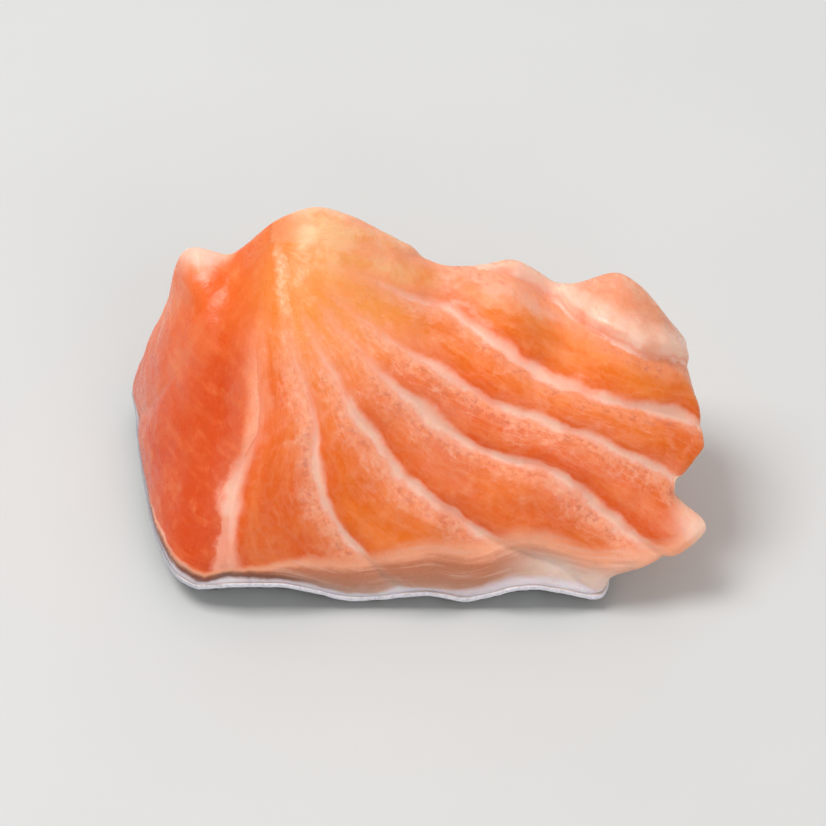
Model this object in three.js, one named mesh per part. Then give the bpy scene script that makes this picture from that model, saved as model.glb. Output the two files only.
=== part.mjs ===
// A salmon trimming: one skin-on chunk cut from a raw fillet, lying on its skin.
//
// The front is a slanting knife cut that shows the muscle flakes as a fan and curves over into
// the top, which rises to a hump at the back. The left side is a second cut, the right end is cut
// under so that the flesh overhangs the skin, and the back is a steep cut. The underside is the
// skin. Its middle is flat and its wavy rim is lifted a little, and its edge shows as a ledge.
//
// Units are millimetres, +X to the right along the chunk, +Y to the back, +Z up. The origin is
// on the surface that the chunk lies on, under the middle of its bounding box.

import * as THREE from "three";
import { mergeVertices } from "three/addons/utils/BufferGeometryUtils.js";

// Grid of the block before it is shaped: how many steps along, across and up, and how strongly
// the steps crowd towards the edges, where the cut sides meet.
const STEPS = { along: 50, across: 28, up: 23 };
const CROWDING = 1.1;
const SAME_POINT = 1e-4;

// Rounding of the cut edges, on the block before it is shaped.
const BLOCK = { length: 57, depth: 30, height: 23 };
const EDGE_RADIUS = 2.2;

// Front cut: how far it leans back from the skin to the shoulder, and how it curves over.
const FRONT_LEAN = { left: 11, right: 10 };
const FRONT_CURVE = 1.7;

// Back cut: where it stands at the skin and at the top, at the left and at the right, how far it
// bulges, and how its right corner is cut off between two places along the chunk.
const BACK = { skinLeft: 28.5, skinRight: 26.5, topLeft: 26.5, topRight: 24.5, bulge: 0.8 };
const BACK_CORNER = { cut: 3, from: 22, to: 31 };

// Left cut: its four corners, how far its middle bulges, and how fully it turns the front corner,
// from a broad turn at the skin to a plain edge (1) at the top.
const LEFT = { frontSkin: -16.5, frontTop: -12.5, backSkin: -25.6, backTop: -20, bulge: 2 };
const LEFT_TURN = { skin: 0.32, top: 1 };

// Right end, from the skin up: [share of the height, x]. At the front the flesh overhangs the
// skin, runs out to a small point, draws in and comes out again. The point is gone within a
// share of the depth, and towards the back the end gets plainer.
const RIGHT_FRONT = [
  [0, 21.3], [0.16, 22.5], [0.27, 27], [0.49, 31.2], [0.56, 30.6], [0.62, 28.2], [0.75, 28.9],
  [1, 31.8],
];
const RIGHT_BEHIND = [[0, 21.3], [0.16, 22.5], [0.3, 26], [0.62, 27.8], [0.8, 29.6], [1, 31.8]];
const POINT_DEPTH = 0.2;
const RIGHT_BACK = { skin: 26, top: 29.6 };

// The top: [x, z] along its front edge, the shoulder, and along its back edge, the ridge with the
// hump, and how the top curves from the one to the other.
const SHOULDER = [[-16, 18], [-7, 22], [0, 22], [8, 19.5], [20, 17.5], [31, 13]];
const RIDGE = [
  [-26, 21.8], [-19.5, 24], [-15, 22.9], [-11, 27.6], [-7, 30.1], [-3, 28.5], [0, 26.4],
  [5, 22.7], [12, 22.1], [17.1, 18.9], [22.3, 21.5], [26, 19.3], [29, 15.5], [31, 13],
];
const TOP_CURVE = 1.7;

// Skin: [x, z] along its front rim, the height of its rim at the back, and the share of the depth
// over which the one turns into the other. Then how many steps each way from the middle are flat,
// the share of the height over which the flat middle's outline fades, its thickness, how far its
// edge stands out under the flesh, and how far a side may face down before it counts as underside.
const SKIN_RIM_FRONT = [[-21, 2.1], [-10, 2.6], [-3, 0.7], [4, 1.5], [8, 0.7], [13.7, 2.3], [20, 1]];
const SKIN_RIM_BACK = 1.8;
const SKIN_RIM_TURN = 0.6;
const SKIN_FLAT_STEPS = { along: 18, across: 10 };
const FLAT_FADE = 0.2;
const SKIN_THICKNESS = 1;
const SKIN_LEDGE = 0.5;
const UNDERSIDE = { from: 0.5, to: 0.9 };

// Fan of muscle flakes. The white sheets between the flakes spread from a line through the hump
// that runs into the chunk, down at 45 degrees. FAN_REACH lists distances from that line. A
// sheet's angles are degrees below +X at those distances, and its ledge is how far the flake
// above it stands over the flake below.
const FAN_LINE = { x: -11, rise: 35.4 };
const FAN_REACH = [18, 26, 34, 42];
const FAN_SHEETS = [
  { angles: [-12, -8, -4, -2], ledge: 0 },
  { angles: [5, 10, 16.5, 16.5], ledge: 1.3 },
  { angles: [20, 25.7, 25.6, 23], ledge: 0.6 },
  { angles: [39, 36.2, 32.3, 30.5], ledge: 0.3 },
  { angles: [50, 46.8, 40.1, 39], ledge: 0.3 },
  { angles: [64.5, 60.6, 54.6, 48.5], ledge: 0.2 },
  { angles: [76, 78.2, 71.2, 63], ledge: 0.2 },
  { angles: [95.5, 99.6, 96.8, 95], ledge: 0 },
  { angles: [128, 130, 130, 128], ledge: 0 },
];
const SLANT = Math.SQRT1_2;

// Relief of the flakes: depth and width of the furrow along a sheet, width of a ledge's edge and
// how far the flake above it slopes away, and the distances from the line where both fade out.
const FURROW = { depth: 0.55, width: 1.3 };
const LEDGE = { below: 0.5, above: 1.4, slope: 5 };
const FLAKE_FADE = { from: 9, to: 20 };

// The share of the relief that is left on the back cut and on the right end, and how far a side
// has to face that way.
const PLAIN_CUT = { share: 0.3, back: [0.4, 0.9], right: [0.7, 0.95] };

// A small knob at the back left corner of the top: its middle and size as the fan's line sees it.
const KNOB = { x: -18.6, rise: 33, wide: 4, tall: 4, proud: 0.7 };

// Unevenness of soft flesh: wavelength and height of each wave, and its direction.
const UNEVEN = [
  { wavelength: 19, height: 0.22, direction: [0.8, 0.1, 0.6] },
  { wavelength: 14, height: 0.14, direction: [-0.5, 0.7, 0.5] },
];

const COLOURS = { flesh: 0xe8733c };
const FLESH_ROUGHNESS = 0.3;

const { degToRad, lerp, radToDeg, smoothstep } = THREE.MathUtils;

// Value at x of the smooth curve through points [x, value], held beyond its ends.
function along(points, x) {
  const last = points.length - 1;
  if (x <= points[0][0]) return points[0][1];
  if (x >= points[last][0]) return points[last][1];
  const next = points.findIndex((point) => point[0] > x);
  const slope = (n) => {
    const [xa, va] = points[Math.max(n - 1, 0)];
    const [xb, vb] = points[Math.min(n + 1, last)];
    return (vb - va) / (xb - xa);
  };
  const [x0, v0] = points[next - 1];
  const [x1, v1] = points[next];
  const wide = x1 - x0;
  const t = (x - x0) / wide;
  const rise = v1 - v0;
  const bend0 = slope(next - 1) * wide - rise;
  const bend1 = rise - slope(next) * wide;
  return v0 + rise * t + t * (1 - t) * (bend0 * (1 - t) + bend1 * t);
}

// A grid coordinate from -1 to 1, moved so that the steps crowd towards the ends.
function crowd(t) {
  return Math.sign(t) * (1 - (1 - Math.abs(t)) ** CROWDING);
}

// A point on the sharp block, moved onto the block with rounded edges.
function roundBlock(point) {
  const half = new THREE.Vector3(BLOCK.length, BLOCK.depth, BLOCK.height).divideScalar(2);
  const inner = half.clone().subScalar(EDGE_RADIUS);
  const core = point.clone().clamp(inner.clone().negate(), inner);
  const outward = point.clone().sub(core).normalize();
  return core.addScaledVector(outward, EDGE_RADIUS);
}

function rightEnd(across, up) {
  const inward = smoothstep(across, 0, POINT_DEPTH);
  const front = lerp(along(RIGHT_FRONT, up), along(RIGHT_BEHIND, up), inward);
  const back = lerp(RIGHT_BACK.skin, RIGHT_BACK.top, up);
  return lerp(front, back, smoothstep(across, 0, 1));
}

function leftCut(across, up) {
  const front = lerp(LEFT.frontSkin, LEFT.frontTop, up);
  const back = lerp(LEFT.backSkin, LEFT.backTop, up);
  const bulge = LEFT.bulge * Math.sin(Math.PI * across) * Math.sin(Math.PI * up);
  return lerp(front, back, across ** lerp(LEFT_TURN.skin, LEFT_TURN.top, up)) - bulge;
}

function frontCut(share, up) {
  return lerp(FRONT_LEAN.left, FRONT_LEAN.right, share) * up ** FRONT_CURVE;
}

function backCut(share, up, x) {
  const left = lerp(BACK.skinLeft, BACK.topLeft, up);
  const right = lerp(BACK.skinRight, BACK.topRight, up);
  const corner = BACK_CORNER.cut * smoothstep(x, BACK_CORNER.from, BACK_CORNER.to);
  return lerp(left, right, share) + BACK.bulge * Math.sin(Math.PI * up) - corner;
}

function topOf(x, across) {
  return lerp(along(SHOULDER, x), along(RIDGE, x), 1 - (1 - across) ** TOP_CURVE);
}

// Where a point of the block lies, seen from above.
function plan(share, across, up) {
  const x = lerp(leftCut(across, up), rightEnd(across, up), share);
  return new THREE.Vector2(x, lerp(frontCut(share, up), backCut(share, up, x), across));
}

// The skin's flat middle ends on a line of the grid and has four straight sides.
const FLAT = {
  along: crowd(SKIN_FLAT_STEPS.along / (STEPS.along / 2)),
  across: crowd(SKIN_FLAT_STEPS.across / (STEPS.across / 2)),
};
const [LEFT_END, RIGHT_END] = [(1 - FLAT.along) / 2, (1 + FLAT.along) / 2];
const [FRONT_END, BACK_END] = [(1 - FLAT.across) / 2, (1 + FLAT.across) / 2];

function flatPlan(share, across) {
  const s = (share - LEFT_END) / (RIGHT_END - LEFT_END);
  const a = (across - FRONT_END) / (BACK_END - FRONT_END);
  const front = plan(LEFT_END, FRONT_END, 0).lerp(plan(RIGHT_END, FRONT_END, 0), s);
  return front.lerp(plan(LEFT_END, BACK_END, 0).lerp(plan(RIGHT_END, BACK_END, 0), s), a);
}

// From 0 in the skin's flat middle to 1 at its rim.
function rimRise(share, across) {
  const beyond = (t, flat) => (Math.abs(2 * t - 1) - flat) / (1 - flat);
  return Math.max(0, beyond(share, FLAT.along), beyond(across, FLAT.across));
}

// A point of the rounded block, moved to its place on the chunk.
function shape(point) {
  const share = point.x / BLOCK.length + 0.5;
  const across = point.y / BLOCK.depth + 0.5;
  const up = point.z / BLOCK.height + 0.5;
  const rise = rimRise(share, across);
  const flatness = (1 - rise) * (1 - smoothstep(up, 0, FLAT_FADE));
  const place = plan(share, across, up).lerp(flatPlan(share, across), flatness);
  const rim = lerp(along(SKIN_RIM_FRONT, place.x), SKIN_RIM_BACK, smoothstep(across, 0, SKIN_RIM_TURN));
  return new THREE.Vector3(place.x, place.y, lerp(rise * rim, topOf(place.x, across), up));
}

// Relief of the flakes at a point: a furrow along each sheet, and a ledge over some of them.
function flakeRelief(point) {
  const right = point.x - FAN_LINE.x;
  const down = FAN_LINE.rise - SLANT * (point.y + point.z);
  const reach = Math.hypot(right, down);
  const angle = radToDeg(Math.atan2(down, right));
  let relief = 0;
  for (const { angles, ledge } of FAN_SHEETS) {
    const sheet = along(FAN_REACH.map((distance, n) => [distance, angles[n]]), reach);
    const above = reach * degToRad(sheet - angle);
    const slope = Math.exp(-Math.max(above, 0) / LEDGE.slope);
    relief -= FURROW.depth * Math.exp(-((above / FURROW.width) ** 2));
    relief += ledge * smoothstep(above, -LEDGE.below, LEDGE.above) * slope;
  }
  return relief * smoothstep(reach, FLAKE_FADE.from, FLAKE_FADE.to);
}

function knobRelief(point) {
  const rise = SLANT * (point.y + point.z);
  const off = ((point.x - KNOB.x) / KNOB.wide) ** 2 + ((rise - KNOB.rise) / KNOB.tall) ** 2;
  return KNOB.proud * (1 - smoothstep(off, 0, 1));
}

function unevenness(point) {
  let height = 0;
  for (const wave of UNEVEN) {
    const direction = new THREE.Vector3(...wave.direction);
    height += wave.height * Math.sin((2 * Math.PI * point.dot(direction)) / wave.wavelength);
  }
  return height;
}

// How far a point stands out from the smooth chunk, along its outward normal. The flesh has all
// the relief but on the back and the right end, the underside has none, and the skin's edge stands
// out as a ledge between them.
function relief(point, normal, aboveSkin) {
  const flesh = smoothstep(aboveSkin, SKIN_THICKNESS, 2 * SKIN_THICKNESS);
  const sides = 1 - smoothstep(-normal.z, UNDERSIDE.from, UNDERSIDE.to);
  const back = smoothstep(normal.y, ...PLAIN_CUT.back);
  const right = smoothstep(normal.x, ...PLAIN_CUT.right);
  const share = lerp(1, PLAIN_CUT.share, Math.max(back, right));
  const grown = share * (flakeRelief(point) + knobRelief(point));
  return flesh * (grown + unevenness(point)) + SKIN_LEDGE * (1 - flesh) * sides;
}

function buildChunk() {
  const box = new THREE.BoxGeometry(2, 2, 2, STEPS.along, STEPS.across, STEPS.up);
  box.deleteAttribute("normal");
  box.deleteAttribute("uv");
  const chunk = mergeVertices(box, SAME_POINT);
  const place = chunk.getAttribute("position");
  const half = new THREE.Vector3(BLOCK.length, BLOCK.depth, BLOCK.height).divideScalar(2);
  const point = new THREE.Vector3();
  const aboveSkin = [];

  for (let i = 0; i < place.count; i++) {
    point.fromBufferAttribute(place, i);
    point.set(crowd(point.x), crowd(point.y), crowd(point.z)).multiply(half);
    const rounded = roundBlock(point);
    const shaped = shape(rounded);
    aboveSkin.push((rounded.z / BLOCK.height + 0.5) * shaped.z);
    place.setXYZ(i, ...shaped);
  }

  chunk.computeVertexNormals();
  const normals = chunk.getAttribute("normal");
  const normal = new THREE.Vector3();
  for (let i = 0; i < place.count; i++) {
    point.fromBufferAttribute(place, i);
    normal.fromBufferAttribute(normals, i);
    point.addScaledVector(normal, relief(point, normal, aboveSkin[i]));
    place.setXYZ(i, ...point);
  }

  chunk.computeBoundingBox();
  const { min, max } = chunk.boundingBox;
  chunk.translate(-(min.x + max.x) / 2, -(min.y + max.y) / 2, -min.z);
  chunk.computeVertexNormals();
  return chunk;
}

const flesh = new THREE.MeshStandardMaterial({ color: COLOURS.flesh, roughness: FLESH_ROUGHNESS });
const chunk = new THREE.Mesh(buildChunk(), flesh);
chunk.name = "salmon_chunk";

const trimming = new THREE.Group();
trimming.add(chunk);

export default trimming;
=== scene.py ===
# %% [markdown]
# # A salmon trimming
#
# The real object is one chunk cut by hand from a raw salmon fillet, lying on its own skin. A
# slanting knife cut at the front shows the muscle as flakes that open like a fan, with white
# sheets between them. The lesson makes two main pieces, the flesh and the skin, then the
# finishes, the scales, the table, the light and the camera.
#
# Work is in millimetres, as a cook would measure, and each finished mesh is turned to metres.

# %% Load the frame
import math

import bpy
import numpy as np
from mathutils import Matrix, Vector, noise


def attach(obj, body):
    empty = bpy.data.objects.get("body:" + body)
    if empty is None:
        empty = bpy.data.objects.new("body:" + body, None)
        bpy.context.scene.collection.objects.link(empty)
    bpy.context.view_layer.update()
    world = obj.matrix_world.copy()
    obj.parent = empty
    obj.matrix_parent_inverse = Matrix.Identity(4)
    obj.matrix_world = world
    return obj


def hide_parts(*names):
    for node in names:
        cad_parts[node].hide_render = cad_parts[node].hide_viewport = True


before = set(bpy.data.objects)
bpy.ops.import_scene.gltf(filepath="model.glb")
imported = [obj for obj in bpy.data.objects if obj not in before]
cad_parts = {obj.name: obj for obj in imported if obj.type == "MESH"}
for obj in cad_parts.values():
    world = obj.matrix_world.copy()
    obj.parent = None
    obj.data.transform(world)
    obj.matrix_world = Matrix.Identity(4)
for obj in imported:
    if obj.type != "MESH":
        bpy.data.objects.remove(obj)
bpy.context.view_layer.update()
NODE = "salmon_chunk"
MM = 0.001

print("frame's nodes:", sorted(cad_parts))

# %% [markdown]
# ## Three small tools for shapes that follow a rule
#
# A cut of fish could be sculpted by hand, but then nobody could see why it has its shape. Here
# every side is a short rule instead: a height along the back edge, a lean of the front cut. The
# rules need three helpers: a blend between two values, a soft step from 0 to 1, and a smooth
# curve through a few measured points.

# %% Blend, soft step and smooth curve
def blend(a, b, t):
    return a + (b - a) * t


def step(value, low, high):
    """Rises softly from 0 at low to 1 at high."""
    t = np.clip((value - low) / (high - low), 0, 1)
    return t * t * (3 - 2 * t)


def along(points, x):
    """The smooth curve through points (x, value), held beyond its ends."""
    xs, values = np.array(points, float).T
    last = len(xs) - 1
    number = np.arange(last + 1)
    before = np.maximum(number - 1, 0)
    after = np.minimum(number + 1, last)
    slopes = (values[after] - values[before]) / (xs[after] - xs[before])

    x = np.clip(x, xs[0], xs[-1])
    n = np.clip(np.searchsorted(xs, x, side="right"), 1, last)
    wide = xs[n] - xs[n - 1]
    rise = values[n] - values[n - 1]
    t = (x - xs[n - 1]) / wide
    bend_in = slopes[n - 1] * wide - rise
    bend_out = rise - slopes[n] * wide
    return values[n - 1] + rise * t + t * (1 - t) * (bend_in * (1 - t) + bend_out * t)


print("a smooth curve through 0, 2 and 1, halfway:", float(along([(0, 0), (1, 2), (2, 1)], 0.5)))

# %% [markdown]
# ## The block before it is cut
#
# Everything starts as one closed box with an even grid on its six sides. A Subdivision Surface
# would round it blindly. An even grid keeps its rows and columns, so each point knows how far
# along, across and up it is, and that is what the cutting rules ask for.

# %% A closed box with an even grid
def block_grid(steps):
    """Points from 0 to 1 and quads of a closed box with the given steps along, across and up."""
    counts = np.array(steps)
    lattice = np.indices(counts + 1).reshape(3, -1).T
    points = lattice[((lattice == 0) | (lattice == counts)).any(axis=1)]
    number = np.zeros(counts + 1, int)
    number[tuple(points.T)] = np.arange(len(points))
    quads = []
    for axis in range(3):
        u = (axis + 1) % 3
        v = (axis + 2) % 3
        first, second = np.meshgrid(np.arange(counts[u]), np.arange(counts[v]), indexing="ij")
        for side in (0, 1):
            corner = np.zeros(first.shape + (4, 3), int)
            corner[..., axis] = side * counts[axis]
            for n, (du, dv) in enumerate(((0, 0), (1, 0), (1, 1), (0, 1))):
                corner[..., n, u] = first + du
                corner[..., n, v] = second + dv
            faces = number[tuple(np.moveaxis(corner, -1, 0))].reshape(-1, 4)
            quads.append(faces if side else faces[:, ::-1])
    return points / counts, np.concatenate(quads)


BLOCK = np.array([57.0, 30.0, 23.0])
EDGE_RADIUS = 2.2
FLESH_STEPS = (190, 104, 76)

grid, flesh_quads = block_grid(FLESH_STEPS)
print("flesh grid:", len(grid), "points,", len(flesh_quads), "quads")

# %% [markdown]
# ## The cuts
#
# The chunk has five cut sides and the skin. The front leans back and curves over at the
# shoulder, the left cut turns a broad corner, the right end is cut under so that a small point
# of flesh overhangs, and the top rises to a hump at the back. The numbers are the real object's
# millimetres, measured from the skin's front edge, and they are the same ones that the solid in
# the frame was made from.

# %% Measures of the cuts
FRONT_LEAN = (11.0, 10.0)
FRONT_CURVE = 1.7
BACK_SKIN = (28.5, 26.5)
BACK_TOP = (26.5, 24.5)
BACK_BULGE = 0.8
BACK_CORNER = 3.0
BACK_CORNER_SPAN = (22.0, 31.0)
LEFT_FRONT = (-16.5, -12.5)
LEFT_BACK = (-25.6, -20.0)
LEFT_BULGE = 2.0
LEFT_TURN = (0.32, 1.0)
RIGHT_FRONT = [
    (0, 21.3), (0.16, 22.5), (0.27, 27), (0.49, 31.2), (0.56, 30.6), (0.62, 28.2), (0.75, 28.9),
    (1, 31.8),
]
RIGHT_BEHIND = [(0, 21.3), (0.16, 22.5), (0.3, 26), (0.62, 27.8), (0.8, 29.6), (1, 31.8)]
POINT_DEPTH = 0.2
RIGHT_BACK = (26.0, 29.6)
SHOULDER = [(-16, 18), (-7, 22), (0, 22), (8, 19.5), (20, 17.5), (31, 13)]
RIDGE = [
    (-26, 21.8), (-19.5, 24), (-15, 22.9), (-11, 27.6), (-7, 30.1), (-3, 28.5), (0, 26.4),
    (5, 22.7), (12, 22.1), (17.1, 18.9), (22.3, 21.5), (26, 19.3), (29, 15.5), (31, 13),
]
TOP_CURVE = 1.7
RIM_FRONT = [(-21, 2.1), (-10, 2.6), (-3, 0.7), (4, 1.5), (8, 0.7), (13.7, 2.3), (20, 1)]
RIM_BACK = 1.8
RIM_TURN = 0.6
RIM_CURVE = 1.5
FLAT_ALONG = 0.75
FLAT_ACROSS = 0.75

print("highest point of the ridge:", max(height for _, height in RIDGE), "mm")

# %% [markdown]
# ## Cutting by rule
#
# Each cut is a small function of how far along, across and up a point of the block is. Its edges
# are rounded first, but for those round the bottom, where the skin is cut sharply. The share
# along, across and up then becomes a place in millimetres. Knives as Boolean solids would give
# the same sides, but with ragged edges and without an even grid.

# %% Rounding and cutting the block
def round_block(points, radius):
    """Block points from 0 to 1, with all edges rounded but those round the bottom."""
    place = (points - 0.5) * BLOCK
    low = -BLOCK / 2 + radius * np.array([1, 1, 0])
    core = np.clip(place, low, BLOCK / 2 - radius)
    outward = place - core
    length = np.linalg.norm(outward, axis=1, keepdims=True)
    reach = np.abs(outward).max(axis=1, keepdims=True)
    return (core + outward / np.maximum(length, 1e-9) * reach) / BLOCK + 0.5


def left_cut(across, up):
    across = np.clip(across, 0, 1)
    front = blend(*LEFT_FRONT, up)
    back = blend(*LEFT_BACK, up)
    bulge = LEFT_BULGE * np.sin(np.pi * across) * np.sin(np.pi * up)
    return blend(front, back, across ** blend(*LEFT_TURN, up)) - bulge


def right_end(across, up):
    front = blend(along(RIGHT_FRONT, up), along(RIGHT_BEHIND, up), step(across, 0, POINT_DEPTH))
    return blend(front, blend(*RIGHT_BACK, up), step(across, 0, 1))


def front_cut(share, up):
    return blend(*FRONT_LEAN, share) * up**FRONT_CURVE


def back_cut(share, up, x):
    left = blend(BACK_SKIN[0], BACK_TOP[0], up)
    right = blend(BACK_SKIN[1], BACK_TOP[1], up)
    corner = BACK_CORNER * step(x, *BACK_CORNER_SPAN)
    return blend(left, right, share) + BACK_BULGE * np.sin(np.pi * up) - corner


def top_of(x, across):
    return blend(along(SHOULDER, x), along(RIDGE, x), 1 - (1 - across) ** TOP_CURVE)


def rim_lift(share, across, x):
    """How far the skin is lifted off the surface: nothing in its middle, most at its rim."""
    ends = (np.abs(2 * share - 1) - FLAT_ALONG) / (1 - FLAT_ALONG)
    sides = (np.abs(2 * across - 1) - FLAT_ACROSS) / (1 - FLAT_ACROSS)
    rise = np.maximum(0, np.maximum(ends, sides)) ** RIM_CURVE
    return rise * blend(along(RIM_FRONT, x), RIM_BACK, step(across, 0, RIM_TURN))


def cut_plan(share, across, up):
    """Where a block point lies seen from above, and how far the skin under it is lifted."""
    x = blend(left_cut(across, up), right_end(across, up), share)
    y = blend(front_cut(share, up), back_cut(share, up, x), across)
    return x, y, rim_lift(share, across, x)


SKIN_THICKNESS = 0.9
SCALE_ROOM = 0.14
CREST_SPAN = (1.0, 5.5)
CREST_DOWN = 2
CREST_BARE = [(-16, 1), (-13.5, 0.2), (-10.5, 0.2), (-8, 1)]
share, across, up = round_block(grid, EDGE_RADIUS).T
x, y, lift = cut_plan(share, across, up)
skin_top = lift + SKIN_THICKNESS
z = blend(skin_top, top_of(x, across), up)
flesh_points = np.column_stack((x, y, z))
above_skin = z - skin_top
from_back_edge = np.hypot((1 - across) * BLOCK[1], CREST_DOWN * (1 - up) * BLOCK[2])
# Where the finish paints a pink highlight: a band along the back edge of the top.
crest = (1 - step(from_back_edge, *CREST_SPAN)) * along(CREST_BARE, x)
print("cut block in mm:", np.ptp(flesh_points, axis=0).round(1))

# %% [markdown]
# ## The fan of flakes
#
# Salmon muscle is a stack of curved leaves, and a knife cut shows them as a fan. Between two
# leaves is a thin white sheet of connective tissue and fat. Each sheet is measured as an angle
# at four distances from the middle of the fan, which lies in the hump. A distance to the nearest
# sheet then gives the furrows in the mesh. A running number, whole on each sheet and broken
# between, later gives the white lines in the finish, so both always fall in the same place.

# %% Measures of the fan
FAN_LINE = (-11.0, 35.4)
FAN_REACH = (18, 26, 34, 42)
FAN_SHEETS = [
    (-12, -8, -4, -2),
    (5, 10, 16.5, 16.5),
    (20, 25.7, 25.6, 23),
    (39, 36.2, 32.3, 30.5),
    (50, 46.8, 40.1, 39),
    (64.5, 60.6, 54.6, 48.5),
    (76, 78.2, 71.2, 63),
    (95.5, 99.6, 96.8, 95),
    (128, 130, 130, 128),
]
FAN_LEDGES = (0, 1.3, 0.6, 0.3, 0.3, 0.2, 0.2, 0, 0)
LINE_WIDTHS = (0, 0.3, 0.4, 1.0, 0.95, 1.1, 1.1, 0.95, 1.5, 0, 0)
LINE_GROWS = [(7, 0), (12, 0.4), (19, 0.9), (25, 1)]
SLANT = math.sqrt(0.5)
WOBBLES = [(6.0, 0.5, 1), (2.2, 0.22, 12)]
BEYOND_FAN = 20.0
LEFT_LEAN = 0.13
LEFT_BORDER = (-0.3, 0.6)
LEFT_SOFT = 3.0
LEFT_SOFT_UP_TO = (5, 17)


def lumps(points, size, seed):
    """Smooth random heights from -1 to 1, with lumps about size millimetres across."""
    shift = Vector((31.7, 17.3, 5.1)) * seed
    return np.array([noise.noise(Vector(point) / size + shift) for point in points])


def fan_at(points):
    """Distance from the fan's middle, each sheet's distance above a point, flake number, width."""
    side = points[:, 0] - FAN_LINE[0]
    down = FAN_LINE[1] - SLANT * (points[:, 1] + points[:, 2])
    for size, amount, seed in WOBBLES:
        side = side + amount * lumps(points, size, seed)
        down = down + amount * lumps(points, size, seed + 1)
    reach = np.hypot(side, down)
    angle = (np.degrees(np.arctan2(down, side)) + 90) % 360 - 90
    sheets = np.array([along(list(zip(FAN_REACH, row)), reach) for row in FAN_SHEETS])
    above = reach * np.radians(sheets - angle)

    bounds = np.vstack((sheets[:1] - BEYOND_FAN, sheets, sheets[-1:] + BEYOND_FAN))
    shares = np.clip((angle - bounds[:-1]) / np.diff(bounds, axis=0), 0, 1)
    flake = shares.sum(axis=0)
    inside = np.clip(flake.astype(int), 0, len(bounds) - 2)
    spans = np.take_along_axis(np.diff(bounds, axis=0), inside[None], axis=0)[0]
    return reach, above, flake, reach * np.radians(spans)


def left_of_fan(points, reach):
    """1 on the smooth left cut and 0 on the fan, with a softer border near the hump."""
    down = FAN_LINE[1] - SLANT * (points[:, 1] + points[:, 2])
    past = FAN_LINE[0] - points[:, 0] - LEFT_LEAN * np.maximum(down, 0)
    soft = LEFT_SOFT * (1 - step(reach, *LEFT_SOFT_UP_TO))
    return step(past, LEFT_BORDER[0] - soft, LEFT_BORDER[1] + soft)


reach, above_sheet, flake, flake_width = fan_at(flesh_points)
left_face = left_of_fan(flesh_points, reach)
line_widths = np.take(LINE_WIDTHS, flake.round().astype(int)) * along(LINE_GROWS, reach)
print("sheets:", len(FAN_SHEETS), "reach in mm:", reach.min().round(1), "to", reach.max().round(1))

# %% [markdown]
# ## Relief of the flesh
#
# Raw flakes are soft and swell a little between their sheets, and at the upper right they stand
# over each other like shingles. A bump map would leave the outline smooth, so the swell, the
# ledges and the larger unevenness go into the mesh, and only what is finer than the grid is left
# to bump. The back and the right end are plain cuts by a sharp knife across the flakes, so little
# of the relief is left there.

# %% Heights of the relief
FURROW_DEPTH = 0.38
FURROW_WIDTH = 1.3
CREASE_DEPTH = 0.15
CREASE_WIDTH = 0.3
LEDGE_BELOW = 0.35
LEDGE_ABOVE = 1.1
LEDGE_SLOPE = 5.0
FLAKE_FADE = (9.0, 20.0)
KNOB = (-18.6, 33.0)
KNOB_RADIUS = 4.0
KNOB_HEIGHT = 0.4
PLAIN_SHARE = 0.3
BACK_FACING = (0.4, 0.9)
RIGHT_FACING = (0.7, 0.95)
UNEVEN = [(19.0, 0.22, (0.8, 0.1, 0.6)), (14.0, 0.14, (-0.5, 0.7, 0.5))]
LUMPS = [(5.5, 0.22, 3), (2.3, 0.09, 4), (1.1, 0.035, 5)]


def flake_relief(reach, above):
    relief = np.zeros_like(reach)
    for distance, ledge in zip(above, FAN_LEDGES):
        relief -= FURROW_DEPTH * np.exp(-((distance / FURROW_WIDTH) ** 2))
        relief -= CREASE_DEPTH * np.exp(-((distance / CREASE_WIDTH) ** 2))
        slope = np.exp(-np.maximum(distance, 0) / LEDGE_SLOPE)
        relief += ledge * step(distance, -LEDGE_BELOW, LEDGE_ABOVE) * slope
    return relief * step(reach, *FLAKE_FADE)


def knob_relief(points):
    rise = SLANT * (points[:, 1] + points[:, 2])
    off = np.hypot(points[:, 0] - KNOB[0], rise - KNOB[1]) / KNOB_RADIUS
    return KNOB_HEIGHT * (1 - step(off**2, 0, 1))


def unevenness(points):
    height = np.zeros(len(points))
    for wavelength, size, direction in UNEVEN:
        height += size * np.sin(2 * np.pi * (points @ np.array(direction)) / wavelength)
    for size, amount, seed in LUMPS:
        height += amount * lumps(points, size, seed)
    return height


grown = flake_relief(reach, above_sheet) + knob_relief(flesh_points)
uneven = unevenness(flesh_points) * step(above_skin, 0, SKIN_THICKNESS)
print("relief in mm:", grown.min().round(2), "to", grown.max().round(2))

# %% [markdown]
# ## From numbers to a mesh
#
# The relief moves each point along its normal, so the mesh is made first, asked for its normals,
# and then moved. What the finish needs later is stored on the points as named attributes: they
# stay on the surface, whatever the object does.

# %% Meshes and attributes
def add_object(name, data):
    """A new object at the origin, in the scene."""
    made = bpy.data.objects.new(name, data)
    bpy.context.scene.collection.objects.link(made)
    return made


def make_piece(name, points, faces):
    """A new object with a smooth mesh. Points are in millimetres."""
    mesh = bpy.data.meshes.new(name)
    mesh.from_pydata((points * MM).tolist(), [], faces.tolist())
    mesh.shade_smooth()
    return add_object(name, mesh)


def point_normals(mesh):
    normals = np.zeros(len(mesh.vertices) * 3)
    mesh.vertex_normals.foreach_get("vector", normals)
    return normals.reshape(-1, 3)


def set_points(mesh, points):
    mesh.vertices.foreach_set("co", (points * MM).ravel())
    mesh.update()


def store(mesh, name, values):
    """Keeps one number on each point, for the finish to read."""
    layer = mesh.attributes.new(name, "FLOAT", "POINT")
    layer.data.foreach_set("value", values.astype(np.float32))


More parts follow.
